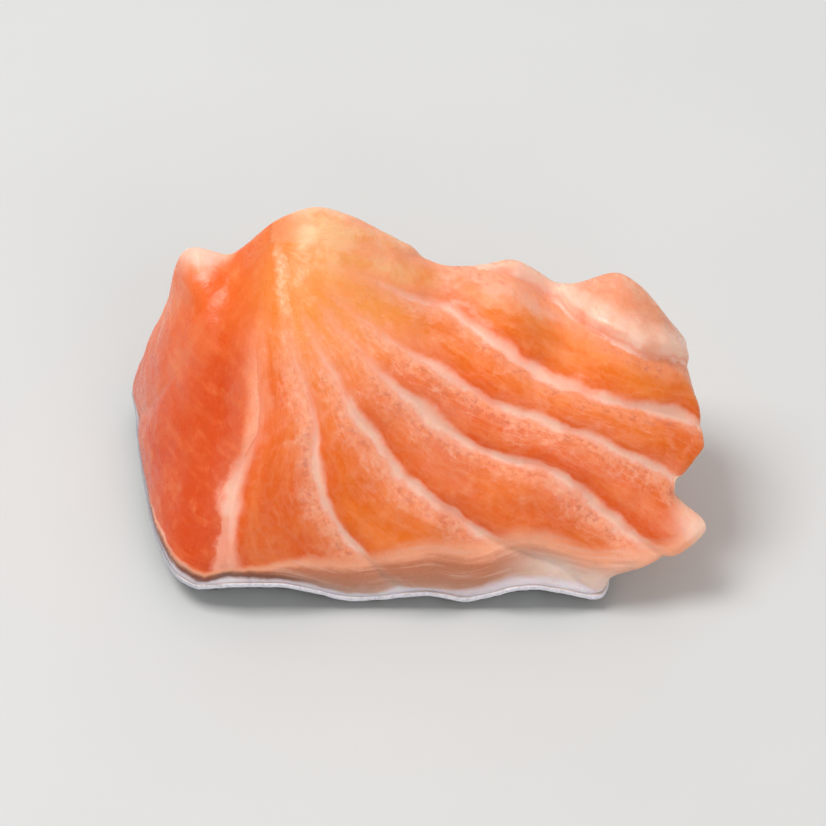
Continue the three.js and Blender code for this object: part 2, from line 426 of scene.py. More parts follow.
flesh = make_piece("salmon_flesh", flesh_points, flesh_quads)
normals = point_normals(flesh.data)
plain_cut = np.maximum(step(normals[:, 0], *RIGHT_FACING), step(normals[:, 1], *BACK_FACING))
kept = blend(1, PLAIN_SHARE, plain_cut) * step(above_skin, 0, SKIN_THICKNESS)
flesh_points = flesh_points + normals * (kept * grown + uneven)[:, None]
for_finish = {
    "fan_reach": reach, "flake": flake, "flake_width": flake_width, "line_width": line_widths,
    "left_face": left_face, "above_skin": above_skin, "crest": crest,
}
for name, values in for_finish.items():
    store(flesh.data, name, values)
print("flesh in mm:", np.ptp(flesh_points, axis=0).round(1))

# %% [markdown]
# ## The skin
#
# The skin is a tough sheet under the flesh, a little wider than the flesh because the meat
# shrinks back from the knife. It could be a copy of the underside with a Solidify modifier, but
# its edge shows all round, so it is a thin block of its own with a rounded rim, and it follows
# the same cuts as the flesh.

# %% A thin wavy sheet
SKIN_STEPS = (150, 84, 6)
SKIN_LEDGE = 0.2
SKIN_LEDGE_VARIES = 0.22
SKIN_ROUND = 0.28
ROUND_POWER = 3
ROUND_SHARE = 0.98
SKIN_OVERLAP = 0.05
SKIN_WAVE = [(5.5, 0.2, 6), (2.0, 0.1, 7)]
SKIN_BORDER = (0.42, 0.5)

skin_grid, skin_quads = block_grid(SKIN_STEPS)
through = skin_grid[:, 2]
on_edge = np.column_stack((skin_grid[:, :2], np.zeros(len(skin_grid))))
rounded_plan = round_block(on_edge, EDGE_RADIUS)
centred = rounded_plan[:, :2] - 0.5
spots = rounded_plan * BLOCK
waver = sum(amount * lumps(spots, size, seed) for size, amount, seed in SKIN_WAVE)
ledge = SKIN_LEDGE + SKIN_LEDGE_VARIES * waver / max(amount for _, amount, _ in SKIN_WAVE)
from_middle = np.abs(2 * through - 1) ** ROUND_POWER
rounded = SKIN_ROUND * (1 - np.sqrt(1 - ROUND_SHARE * from_middle))
out = ledge - rounded
share, across = (centred * (1 + 2 * out[:, None] / BLOCK[:2]) + 0.5).T
x, y, lift = cut_plan(share, across, np.zeros(len(skin_grid)))
border = step(np.abs(centred).max(axis=1), *SKIN_BORDER)
z = lift + blend(SCALE_ROOM, SKIN_THICKNESS + SKIN_OVERLAP, through) + border * np.abs(waver)
skin_points = np.column_stack((x, y, z))
skin = make_piece("salmon_skin", skin_points, skin_quads)
store(skin.data, "through_skin", through)
print("skin in mm:", np.ptp(skin_points, axis=0).round(1))

# %% [markdown]
# ## Setting the pieces down
#
# The frame's origin is on the surface, under the middle of the chunk. Both pieces are moved by
# the same amount, the flesh's own offset from that middle, so they stay together and land where
# the frame's solid lies.

# %% Move to the frame's origin
low = np.minimum(flesh_points.min(axis=0), skin_points.min(axis=0))
high = np.maximum(flesh_points.max(axis=0), skin_points.max(axis=0))
shift = -np.array([(low[0] + high[0]) / 2, (low[1] + high[1]) / 2, 0])
set_points(flesh.data, flesh_points + shift)
set_points(skin.data, skin_points + shift)
print("set down by", shift.round(2), "mm")

# %% [markdown]
# ## Nodes written as sums
#
# A finish is a tree of nodes, and forty nodes wired by hand are hard to read. The class Wire
# stands for the socket that a value comes out of, so that adding or multiplying wires adds the
# Math nodes. The class Nodes makes the nodes of any tree, here for the finishes and later for
# the laying of the scales. A node gets its settings first, because they decide its sockets.

# %% Wires and nodes
class Wire:
    """A value in a tree of nodes that is used in sums like a number."""

    def __init__(self, nodes, socket):
        self.nodes = nodes
        self.socket = socket

    def __add__(self, other):
        return self.nodes.maths("ADD", self, other)

    def __sub__(self, other):
        return self.nodes.maths("SUBTRACT", self, other)

    def __rsub__(self, other):
        return self.nodes.maths("SUBTRACT", other, self)

    def __mul__(self, other):
        return self.nodes.maths("MULTIPLY", self, other)

    def __truediv__(self, other):
        return self.nodes.maths("DIVIDE", self, other)

    __radd__ = __add__
    __rmul__ = __mul__

    def beside(self, name):
        """Another output of the same node."""
        return Wire(self.nodes, self.socket.node.outputs[name])


class Nodes:
    """The nodes of one tree, each made by the same method."""

    def __init__(self, tree):
        self.tree = tree

    def node(self, kind, settings=None, inputs=None, output=0):
        """Makes a node: first its settings, then its inputs. Gives one of its outputs."""
        made = self.tree.nodes.new(kind)
        for name, value in (settings or {}).items():
            if name == "stops":
                self.set_stops(made.color_ramp, value)
            else:
                setattr(made, name, value)
        for name, value in (inputs or {}).items():
            self.feed(made.inputs[name], value)
        return Wire(self, made.outputs[output])

    def feed(self, socket, value):
        if isinstance(value, Wire):
            self.tree.links.new(value.socket, socket)
        else:
            socket.default_value = value

    def set_stops(self, ramp, stops):
        while len(ramp.elements) < len(stops):
            ramp.elements.new(1)
        for element, (position, colour) in zip(ramp.elements, stops):
            element.position = position
            element.color = colour

    def maths(self, operation, *values):
        return self.node("ShaderNodeMath", {"operation": operation}, dict(enumerate(values)))

    def vector(self, x=0.0, y=0.0, z=0.0):
        return self.node("ShaderNodeCombineXYZ", None, {"X": x, "Y": y, "Z": z})

    def parts(self, vector):
        """The three parts of a vector."""
        first = self.node("ShaderNodeSeparateXYZ", None, {"Vector": vector})
        return [first.beside(axis) for axis in "XYZ"]


print("wires can be added, subtracted, multiplied and divided")

# %% [markdown]
# ## Finishes and colours
#
# A finish is a material with a few tools of its own: soft steps, noises, attributes and bump. Its
# places are in millimetres, because a metre is far too large a unit for fish. Colours go through
# Mix nodes, because a Math node would turn them grey, and they are written as a screen shows them.

# %% The tools of a finish
class Finish(Nodes):
    """A material whose nodes are written as sums, with places in millimetres."""

    def __init__(self, name):
        self.material = bpy.data.materials.new(name)
        self.material.use_nodes = True
        super().__init__(self.material.node_tree)
        self.shader = self.tree.nodes["Principled BSDF"]
        self.ground = None
        metres = self.node("ShaderNodeTexCoord", output="Object")
        self.place = self.node(
            "ShaderNodeVectorMath", {"operation": "SCALE"}, {0: metres, "Scale": 1 / MM}
        )

    def step(self, value, low, high):
        """Rises softly from 0 at low to 1 at high, or falls where high is the smaller."""
        return self.node("ShaderNodeMapRange", {"interpolation_type": "SMOOTHSTEP"}, {
            "Value": value, "From Min": low, "From Max": high,
        })

    def attribute(self, name):
        return self.node("ShaderNodeAttribute", {"attribute_name": name}, output="Fac")

    def noise(self, size, detail=2.0, rough=0.5, place=None, seed=0.0):
        """Smooth random values about 0.5, with lumps about size millimetres across."""
        return self.node("ShaderNodeTexNoise", {"noise_dimensions": "4D"}, {
            "Vector": place or self.place, "W": seed, "Scale": 1 / size, "Detail": detail,
            "Roughness": rough,
        })

    def mix(self, share, ground, cover):
        """The cover colour over the ground colour, as far as share says."""
        return self.node("ShaderNodeMix", {"data_type": "RGBA"}, {0: share, 6: ground, 7: cover}, 2)

    def cover(self, share, colour):
        """Lays one more colour over the finish's ground colour."""
        self.ground = self.mix(share, self.ground, colour)

    def bump(self, height, depth):
        """Feeds the shader's normal with a height from 0 to 1 that is depth millimetres deep."""
        bumped = self.node("ShaderNodeBump", None, {"Height": height, "Distance": depth * MM})
        self.feed(self.shader.inputs["Normal"], bumped)

    def set(self, inputs):
        for name, value in inputs.items():
            self.feed(self.shader.inputs[name], value)


def paint(red, green, blue):
    """A colour from screen values 0 to 255, as the shader wants it."""
    shares = np.array([red, green, blue]) / 255
    linear = np.where(shares <= 0.04045, shares / 12.92, ((shares + 0.055) / 1.055) ** 2.4)
    return (*linear.tolist(), 1.0)


salmon = Finish("salmon flesh")
print("a new finish:", len(salmon.tree.nodes), "nodes")
print("salmon orange in the shader:", [round(c, 3) for c in paint(240, 125, 70)[:3]])

# %% [markdown]
# ## Flesh, first layer: the orange
#
# Farmed salmon is orange from its feed, but never one orange. Each flake has its own tone, which
# is deeper near the skin, and the smooth left cut is redder, with faint level streaks. Painting
# that by hand would need an image, so the colours follow the fan's own numbers: in which flake a
# point is, and how far it is from the fan's middle. Added to such a number, a noise about 0 makes
# a border uneven: sway moves it widely and jitter finely.

# %% A tone for each flake, and the red left cut
FLAKE_TONES = [
    paint(232, 158, 124), paint(230, 150, 112), paint(234, 122, 30), paint(234, 112, 20),
    paint(234, 104, 22), paint(236, 112, 40), paint(240, 118, 24), paint(234, 108, 36),
    paint(226, 88, 16), paint(228, 94, 30),
]
TONE_EDGES = (0.1, 0.9)
DEEP_ORANGE = paint(220, 74, 18)
DEEP_UP_TO = (6.5, 2)
DEEP_FLAKES = (4.6, 5.4)
CUT_RED = paint(214, 72, 10)
CUT_ORANGE = paint(236, 98, 12)
CUT_TURNS = (11, 21)
CUT_PALE = paint(246, 132, 72)
CUT_STRETCH = 6

far = salmon.attribute("fan_reach")
number = salmon.attribute("flake")
left_side = salmon.attribute("left_face")
over_skin = salmon.attribute("above_skin")
right, deep, high = salmon.parts(salmon.place)
rise = SLANT * (deep + high)
drift = salmon.noise(7, 2, seed=1)
mottle = salmon.noise(1.6, 4, 0.6, seed=2)
grain = salmon.noise(0.55, 3, 0.6, seed=3)
sway = drift - 0.5
jitter = mottle - 0.5

flakes = len(FLAKE_TONES)
stops = [((n + e) / flakes, tone) for n, tone in enumerate(FLAKE_TONES) for e in TONE_EDGES]
salmon.ground = salmon.node("ShaderNodeValToRGB", {"stops": stops}, {"Fac": number / flakes})
salmon.cover(salmon.step(drift, 0.6, 0.36) * 0.3, DEEP_ORANGE)
low = salmon.step(over_skin + 4 * sway, *DEEP_UP_TO) * salmon.step(number, *DEEP_FLAKES)
salmon.cover(low * 0.4, DEEP_ORANGE)
cut = salmon.mix(salmon.step(rise + 6 * sway, *CUT_TURNS), CUT_RED, CUT_ORANGE)
level_place = salmon.vector(right / CUT_STRETCH, deep / CUT_STRETCH, high)
level_streak = salmon.noise(1.0, 3, 0.6, place=level_place, seed=12)
cut = salmon.mix(salmon.step(level_streak, 0.45, 0.7) * 0.35, cut, CUT_PALE)
salmon.cover(left_side * 0.9, cut)
print("the orange:", len(salmon.tree.nodes), "nodes")

# %% [markdown]
# ## Flesh, second layer: hump, ridge, tip and knob
#
# Some places have a colour of their own, and others get painted highlights and sheen. The thin
# hump is yellow where light comes through it, with a painted cream highlight on top and one pale
# streak at its left. The ridge to its right has a painted pink sheen, and the back edge a painted
# pink highlight. The point that overhangs at the right is cream, and the knob at the left has a
# nearly white painted highlight. Each is a mask on the slanting front cut, with a border that the
# noises break up.

# %% Places with a colour of their own, and painted highlights
UPPER_PART = (10, 20)
FRONT_PART = (13, 9)
HUMP_YELLOW = paint(242, 152, 60)
HUMP_AT = (-7.0, 20.5)
HUMP_REACH = (12, 3)
HUMP_HIGHLIGHT = paint(246, 190, 138)
HUMP_HIGHLIGHT_UP = (18, 25)
HUMP_HIGHLIGHT_ALONG = ((-12.5, -9.5), (5, 0))
HUMP_STREAK = paint(252, 204, 164)
STREAK_AT = -12.3
STREAK_LEAN = 0.1
STREAK_HALF = (0.9, 0.1)
STREAK_ENDS = ((17, 19.5), (26, 23.5))
RIDGE_SHEEN_PINK = paint(244, 178, 148)
RIDGE_FALL = 0.27
RIDGE_UP = (20.4, 22.2)
RIDGE_FROM = (1, 3.5)
TIP_CREAM = paint(255, 218, 196)
TIP_FROM = (25, 29)
TIP_FLAKES = (3.6, 4.3)
CREST_HIGHLIGHT_PINK = paint(250, 200, 172)
KNOB_HIGHLIGHT_PINK = paint(254, 206, 186)
KNOB_AT = (-20.6, 24.9)
KNOB_REACH = (3.6, 1.4)

slope = salmon.vector(right, rise)
patches = salmon.noise(2.8, 3, 0.6, seed=14)
upper = salmon.step(high, *UPPER_PART)
in_front = salmon.step(deep, *FRONT_PART)


def off_from(spot):
    """Distance in millimetres from a spot on the slanting cut."""
    measure = {"operation": "DISTANCE"}
    return salmon.node("ShaderNodeVectorMath", measure, {0: slope, 1: (*spot, 0)}, "Value")


def between_ends(value, rising, falling):
    """A soft band: 0 outside, 1 from the end of the rise to the end of the fall."""
    return salmon.step(value, *rising) * salmon.step(value, *falling)


yellow = salmon.step(off_from(HUMP_AT) + 5 * sway, *HUMP_REACH) * upper
salmon.cover(yellow * 0.8, HUMP_YELLOW)
# A painted cream highlight on top of the hump.
hump_highlight = salmon.step(rise + 4 * jitter, *HUMP_HIGHLIGHT_UP) * upper
hump_highlight = hump_highlight * between_ends(right, *HUMP_HIGHLIGHT_ALONG) * (0.35 + salmon.step(patches, 0.38, 0.6))
salmon.cover(hump_highlight * 0.75, HUMP_HIGHLIGHT)
aside = right - STREAK_AT + STREAK_LEAN * (rise - HUMP_AT[1]) + 3 * jitter
pale_streak = salmon.step(salmon.maths("ABSOLUTE", aside), *STREAK_HALF)
pale_streak = pale_streak * between_ends(rise, *STREAK_ENDS) * in_front
pale_streak = pale_streak * (0.5 + 0.8 * salmon.step(grain, 0.4, 0.6))
salmon.cover(pale_streak * 0.6, HUMP_STREAK)
# A painted pink sheen on the ridge to the right of the hump.
ridge_sheen = salmon.step(rise + RIDGE_FALL * right + 3 * jitter, *RIDGE_UP)
ridge_sheen = ridge_sheen * salmon.step(right, *RIDGE_FROM) * (0.5 + salmon.step(patches, 0.35, 0.6))
salmon.cover(ridge_sheen * 0.6, RIDGE_SHEEN_PINK)
tip = salmon.step(right + 3 * drift, *TIP_FROM) * salmon.step(number, *TIP_FLAKES)
salmon.cover(tip * 0.9, TIP_CREAM)
# A painted pink highlight along the back edge.
crest = salmon.attribute("crest") + 1.2 * jitter
salmon.cover(salmon.step(crest, 0.1, 1.0) * 0.7, CREST_HIGHLIGHT_PINK)
# A painted, nearly white highlight on top of the knob.
knob = salmon.step(off_from(KNOB_AT) + 3 * jitter, *KNOB_REACH)
salmon.cover(knob * 0.85, KNOB_HIGHLIGHT_PINK)
print("with hump, ridge, tip and knob:", len(salmon.tree.nodes), "nodes")

# %% [markdown]
# ## Flesh, third layer: streaks and specks
#
# A flake is a bundle of fibres, so faint pale streaks run along it. Next to a white sheet it
# changes: above the sheet it is smooth and deeper in colour, with painted shade, and below it the
# flesh frays into pink threads with pink specks and dark specks of painted crevice shade. Near the
# hump the sheets are only soft pale bands, and the one at the fan's left stays soft furthest. The
# part of the flake number behind the point tells how far past the sheet a place is.

# %% Streaks, soft bands, threads and specks
STREAK_PALE = paint(250, 156, 94)
HALO = paint(249, 160, 120)
PINK_SPECK = paint(253, 182, 150)
CREVICE_SHADE_SPECK = paint(196, 98, 78)
LOBE_ORANGE = paint(232, 128, 84)
STREAKS_ACROSS = 5
STREAK_STRETCH = 8
THREADS_ACROSS = 6
THREAD_STRETCH = 2.4
FOOT_UP_TO = (6, 1.5)
LINE_STARTS = (7, 23)
LEFT_SHEET = (7.4, 7.6)
LEFT_SHEET_FADES = (26, 18)
LOBE_FLAKES = (2.02, 1.96)
LOBE_STARTS = (12, 22)
NEAR_HUMP = ((5, 10), (25, 15))
SHADE_WIDTH = (2.4, 0.3)
SHADE_STARTS = (12, 22)
HALO_WIDTH = (2.6, 0.2)
HALO_STARTS = (6, 16)
FRAY_WIDTH = (3.8, 0.4)
FRAY_STARTS = (7, 15)
FRAY_FLAKES = (2.7, 4.0)
CREVICE_SHADE_WIDTH = (2.4, 0.8)

flake_width = salmon.attribute("flake_width")
between = salmon.maths("PINGPONG", number, 0.5)
past = salmon.maths("FRACT", number) * flake_width
before = flake_width - past + 1.5 * jitter
waver = salmon.noise(4.2, 2, seed=9)
foot = salmon.step(over_skin + 2 * jitter, *FOOT_UP_TO)
line_width = salmon.attribute("line_width") * (0.95 + 2.8 * (waver - 0.5) + 0.9 * foot)
left_sheet = salmon.step(number, *LEFT_SHEET) * salmon.step(far, *LEFT_SHEET_FADES)
seen = salmon.step(line_width, 0.05, 0.5) * salmon.step(far, *LINE_STARTS)
seen = seen * (1 - 0.85 * left_sheet)
plain = 1 - 0.8 * left_side
lobe = salmon.step(number, *LOBE_FLAKES) * salmon.step(far, *LOBE_STARTS)

streak_place = salmon.vector(number * STREAKS_ACROSS, far / STREAK_STRETCH)
streak = salmon.noise(0.9, 4, 0.6, place=streak_place, seed=4)
salmon.cover(salmon.step(streak, 0.42, 0.75) * plain * 0.45, STREAK_PALE)
salmon.cover(salmon.step(mottle, 0.5, 0.75) * 0.3, STREAK_PALE)
soft_band = salmon.step(between + 0.9 * jitter + 0.5 * (waver - 0.5), 0.4, 0.06)
soft_band = soft_band * between_ends(far, *NEAR_HUMP) * plain
salmon.cover(soft_band * 0.6, HALO)

# Painted shade: a deeper orange band on the flake just above each sheet.
shade = salmon.step(before, *SHADE_WIDTH) * salmon.step(far, *SHADE_STARTS) * plain * (1 - lobe)
salmon.cover(shade * 0.4, DEEP_ORANGE)
halo = salmon.step(past + 2.6 * jitter, *HALO_WIDTH) * salmon.step(far, *HALO_STARTS) * plain
salmon.cover(halo * 0.65, HALO)
frayed = salmon.step(past + 7 * jitter, *FRAY_WIDTH) * salmon.step(far, *FRAY_STARTS)
frayed = frayed * plain * salmon.step(number, *FRAY_FLAKES)
thread_place = salmon.vector(number * THREADS_ACROSS, far / THREAD_STRETCH)
wriggle = salmon.noise(1.2, 3, 0.6, place=thread_place, seed=11)
thread = salmon.step(salmon.maths("ABSOLUTE", wriggle - 0.5), 0.08, 0) * plain
salmon.cover(thread * (0.1 + 0.3 * frayed) * (1 - lobe), PINK_SPECK)
salmon.cover(thread * lobe * 0.6, LOBE_ORANGE)
salmon.cover(frayed * (0.12 + 0.5 * salmon.step(grain, 0.46, 0.7)), PINK_SPECK)
# Dark specks of painted crevice shade just past each sheet.
crevice_shade = salmon.step(past + 2 * jitter, *CREVICE_SHADE_WIDTH) * seen * plain
salmon.cover(crevice_shade * salmon.step(grain, 0.5, 0.34) * 0.5, CREVICE_SHADE_SPECK)
print("with streaks and specks:", len(salmon.tree.nodes), "nodes")

# %% [markdown]
# ## Flesh, fourth layer: the white sheets
#
# Between two flakes lies a sheet of fat and connective tissue. Its cut edge is a line about a
# millimetre wide, which is sharp towards the flake above it, ragged below, thin towards the hump
# and wider at its foot. The lobe at the upper right is paler pink, partly its flesh and partly a
# painted sheen. Where it ends, the sheet turns outwards as a white rim, which also carries a
# painted highlight on the lobe's rounded edge. A line that is only a distance looks drawn with a
# pen, so noises shift its edges.

# %% Lines, their white cores and the lobe's rim
SHEET_PINK = paint(248, 166, 138)
SHEET_WHITE = paint(254, 200, 176)
LOBE_PINK_AND_SHEEN = paint(236, 162, 128)
RIM_WHITE_HIGHLIGHT = paint(255, 208, 186)
RIM_WIDTH = (3.7, 1)
RIM_STARTS = (17, 25)

# The lobe's pale pink: partly its flesh, partly a painted sheen.
salmon.cover(lobe * 0.4, LOBE_PINK_AND_SHEEN)
# The white rim: partly the sheet, partly a painted highlight on the lobe's rounded edge.
rim = salmon.step(before, *RIM_WIDTH) * salmon.step(far, *RIM_STARTS) * in_front * lobe
salmon.cover(rim * (0.45 + 0.4 * salmon.step(patches, 0.4, 0.6)), RIM_WHITE_HIGHLIGHT)
fringe = 0.5 + salmon.step(past / flake_width, 0.55, 0.45)
ragged = between * flake_width + fringe * (jitter + 0.6 * (grain - 0.5))
line = salmon.step(ragged, 0.75 * line_width + 0.04, 0.35 * line_width) * seen
salmon.cover(line * 0.9, SHEET_PINK)
core = salmon.step(ragged, 0.55 * line_width, 0.1 * line_width) * salmon.step(waver, 0.36, 0.56)
salmon.cover(core * seen * 0.85, SHEET_WHITE)
print("with the white sheets:", len(salmon.tree.nodes), "nodes")

# %% [markdown]
# ## Flesh, fifth layer: the fat over the skin
#
# Just over the skin lies brown muscle with fat, thin and dark at the left, where painted shade
# darkens it, and thick and creamy at the right, and right on the skin a silvery film. The layer
# gets a ramp of its own from the skin up, stretched by a thickness that grows along the chunk, is
# less behind the front and wavers a little. Long pale streaks in it run with the skin.

# %% A layer that thickens to the right
FAT_THIN = 1.5
FAT_THICK = 5.6
FAT_END = 5.0
FAT_GROWS = (-19, 0)
FAT_SHRINKS = (8, 19)
FAT_BEHIND = (-9, 4)
FAT_STOPS = [
    (0.0, paint(214, 190, 178)), (0.3, paint(188, 134, 108)), (0.62, paint(200, 126, 92)),
    (0.8, paint(249, 174, 138)), (1.0, paint(250, 164, 124)),
]
FAT_SHADE = paint(84, 58, 54)
SHADE_ALONG = (-2, -15)
SHADE_UP_TO = (1.5, 0.7)
FAT_CREAM = paint(236, 212, 198)
CREAM_FROM = (6, 16)
FAT_SILVER = paint(230, 220, 228)
FILM_GROWS = (-8, 8)
LIE_STRETCH = 14

thick = FAT_THIN + (FAT_THICK - FAT_THIN) * salmon.step(right, *FAT_GROWS)
thick = thick + (FAT_END - FAT_THICK) * salmon.step(right, *FAT_SHRINKS)
thick = thick * (1 - 0.45 * salmon.step(deep, *FAT_BEHIND))
layer = (over_skin + 1.6 * sway + 0.8 * jitter) / thick
lie_place = salmon.vector(right / LIE_STRETCH, deep / LIE_STRETCH, over_skin)
lie = salmon.noise(0.5, 3, 0.6, place=lie_place, seed=10)
fat = salmon.node("ShaderNodeValToRGB", {"stops": FAT_STOPS}, {"Fac": layer + 0.35 * (lie - 0.5)})
# Painted shade darkens the brown muscle at the left, just over the skin.
dark = salmon.step(right, *SHADE_ALONG) * salmon.step(over_skin + 0.8 * jitter, *SHADE_UP_TO)
fat = salmon.mix(dark * 0.85, fat, FAT_SHADE)
creamy = salmon.step(right, *CREAM_FROM) * salmon.step(layer, 0.9, 0.35)
fat = salmon.mix(creamy, fat, FAT_CREAM)
fat = salmon.mix(salmon.step(lie, 0.5, 0.7) * 0.35, fat, FAT_CREAM)
film_top = (0.7 + 0.7 * salmon.step(right, *FILM_GROWS)) * (0.3 + 1.4 * waver)
film = salmon.step((over_skin + 0.6 * jitter) / film_top, 1.0, 0.4)
fat = salmon.mix(film * 0.9, fat, FAT_SILVER)
salmon.cover(salmon.step(layer, 1.15, 0.88) * 0.9, fat)
print("with the fat:", len(salmon.tree.nodes), "nodes")

# %% [markdown]
# ## Flesh, last layer: wet and soft
#
# Raw fish lets light in and is wet. Subsurface gives the depth, and its red goes furthest. A coat
# would be a smooth shell over the bumps, like varnish, so the wetness is a low roughness that
# varies, under a bump of specks and streaks that are too small for the mesh.

# %% Wetness, depth and fine bump
WET_ROUGHNESS = 0.28
FLESH_RADIUS = (1.0, 0.36, 0.16)
FLESH_DEPTH = 1.6
GRAIN_DEPTH = 0.16

wet = WET_ROUGHNESS + 0.3 * jitter + 0.2 * sway + 0.08 * line
salmon.set({
    "Base Color": salmon.ground,
    "Roughness": wet,
    "IOR": 1.38,
    "Subsurface Weight": 0.5,
    "Subsurface Radius": FLESH_RADIUS,
    "Subsurface Scale": FLESH_DEPTH * MM,
})
salmon.bump((0.3 + 0.5 * frayed) * grain + 0.6 * mottle + 0.3 * streak + 0.15 * line, GRAIN_DEPTH)
flesh.data.materials.append(salmon.material)
print("flesh finish:", len(salmon.tree.nodes), "nodes")

# %% [markdown]
# ## The skin's finish
#
# Salmon skin is silver with dark blue-grey pigment on its outside. Where it is cut, the edge
# shows the pale layer under the pigment as a bright line. The attribute that runs through the
# skin, from 0 outside to 1 at the flesh, separates the two.

# %% Silver skin with a bright cut edge
SKIN_DARK = paint(36, 38, 46)
SKIN_SILVER = paint(112, 120, 134)
SKIN_EDGE = paint(236, 232, 240)
SKIN_FAT = paint(206, 182, 170)
SKIN_SHADED = (-19, -25)
SKIN_BUMP = 0.08

silver = Finish("silver skin")
through = silver.attribute("through_skin")
patch = silver.noise(3.2, 4, 0.6, seed=5)
fleck = silver.noise(0.5, 3, 0.6, seed=6)
outside = silver.mix(silver.step(patch, 0.42, 0.66), SKIN_DARK, SKIN_SILVER)
edge = silver.mix(silver.step(fleck, 0.4, 0.75) * 0.4, SKIN_EDGE, SKIN_SILVER)
edge = silver.mix(silver.step(through, 0.75, 1.0), edge, SKIN_FAT)
cut_edge = silver.step(through + 0.4 * (fleck - 0.5), 0.12, 0.3)
along_chunk = silver.parts(silver.place)[0]
shaded = silver.step(along_chunk + 6 * (patch - 0.5), *SKIN_SHADED)
edge = silver.mix(shaded * 0.6, edge, SKIN_SILVER)
silver.set({
    "Base Color": silver.mix(cut_edge, outside, edge),
    "Roughness": 0.24 + 0.3 * fleck,
    "Metallic": 0.35 * (1 - cut_edge),
    "Coat Weight": 0.6,
    "Coat Roughness": 0.1,
})
silver.bump(0.6 * fleck + 0.4 * patch, SKIN_BUMP)
skin.data.materials.append(silver.material)
print("skin finish:", len(silver.tree.nodes), "nodes")

# %% [markdown]
# ## The scales' finish
#
# Scales are clear discs over silver, so each catches the light a little differently. The laying
# of the scales gives every scale a random tint of its own, and every point of it how far along the
# scale it is. The finish darkens a scale with painted shade where it slips out from under the one
# before, and brightens its free edge.

# %% A finish with its own tint on each scale
SCALE_DARK = paint(62, 68, 80)
SCALE_BRIGHT = paint(164, 173, 188)
SCALE_EDGE = paint(186, 192, 202)
SCALE_ROOT_SHADE = paint(34, 38, 48)
SCALE_BUMP = 0.02

pearl = Finish("pearly scales")
tint = pearl.attribute("scale_tint")
onward = pearl.attribute("along_scale")
cloud = pearl.noise(6, 3, seed=7)
scaly = pearl.mix(pearl.step(0.5 * tint + 0.7 * cloud, 0.3, 0.85), SCALE_DARK, SCALE_BRIGHT)
# Painted shade where each scale slips out from under the one before.
scaly = pearl.mix(pearl.step(onward, 0.7, 0.35) * 0.8, scaly, SCALE_ROOT_SHADE)
scaly = pearl.mix(pearl.step(onward, 0.82, 0.98) * 0.6, scaly, SCALE_EDGE)
pearl.set({
    "Base Color": scaly,
    "Roughness": 0.22 + 0.15 * tint,
    "Metallic": 0.5,
    "Coat Weight": 0.7,
    "Coat Roughness": 0.08,
})
pearl.bump(pearl.noise(0.25, 2, seed=8), SCALE_BUMP)
print("scale finish:", len(pearl.tree.nodes), "nodes")

# %% [markdown]
# ## A tree that lays the scales
#
# A salmon's scales are small overlapping discs whose free edges point to the tail. A few hundred
# of them would be tedious to place by hand, so Geometry Nodes do it, in a tree with named inputs:
# the pitch of the scales can then be changed from the modifier panel. The class keeps the sockets'
# identifiers, because a modifier's inputs are set by them.

# %% A tree of geometry nodes with named inputs
class Tree(Nodes):
    """A Geometry Nodes tree with named inputs."""

    def __init__(self, name):
        super().__init__(bpy.data.node_groups.new(name, "GeometryNodeTree"))
        self.names = {}
        self.add_socket("Geometry", "NodeSocketGeometry", "OUTPUT")
        self.add_socket("Geometry", "NodeSocketGeometry", "INPUT")
        self.inputs = self.tree.nodes.new("NodeGroupInput")
        self.result = self.tree.nodes.new("NodeGroupOutput")

    def add_socket(self, name, kind, side):
        return self.tree.interface.new_socket(name=name, in_out=side, socket_type=kind)

    def given(self, name):
        """What comes in through a named input."""
        return Wire(self, self.inputs.outputs[name])

    def named_input(self, name, kind="NodeSocketFloat"):
        """Adds a named input and gives its wire."""
        self.names[name] = self.add_socket(name, kind, "INPUT").identifier
        return self.given(name)

    def here(self):
        """The three parts of each point's place: along, across and up."""
        return self.parts(self.node("GeometryNodeInputPosition"))

    def end(self, geometry, material):
        """Gives the geometry its material and closes the tree."""
        coated = self.node("GeometryNodeSetMaterial", None, {
            "Geometry": geometry, "Material": material,
        })
        self.feed(self.result.inputs[0], coated)


scale_laying = Tree("fish scales")
print("an empty tree:", len(scale_laying.tree.nodes), "nodes")

# %% [markdown]
# ## Flat scales first, then draped
#
# Scales could be put on the skin's own points, but its grid is crowded in places and far apart in
# others. Here a staggered level net lies under the skin, and each of its points shoots four rays
# up. Where all four hit the skin there is room for a whole scale, and a disc is laid down, tilted
# a little so that its free edge stands out. At last every point of every disc is moved up to where
# its own ray meets the skin, so the scales follow the curve of its rim.

# %% A net of flat scales, draped over the skin
NET_COLUMNS = 36
NET_ROWS = 17
COLUMN_GAP = 0.82
RAY_START = -5 * MM
RAY_LENGTH = 15 * MM
ROOM = 0.72
SCALE_SIDES = 12
SCALE_RINGS = 5
SIZE_VARIES = (0.94, 1.06)
TURN_VARIES = math.radians(6)


def net_of_points(tree, pitch):
    """A level net, centred, in which every second column is moved by half a pitch."""
    net = tree.node("GeometryNodeMeshGrid", None, {
        "Size X": pitch * ((NET_COLUMNS - 1) * COLUMN_GAP),
        "Size Y": pitch * (NET_ROWS - 1),
        "Vertices X": NET_COLUMNS,
        "Vertices Y": NET_ROWS,
    })
    column = tree.maths("FLOOR", tree.node("GeometryNodeInputIndex") / NET_ROWS)
    aside = tree.vector(y=tree.maths("MODULO", column, 2) * 0.5 * pitch)
    return tree.node("GeometryNodeSetPosition", None, {"Geometry": net, "Offset": aside})


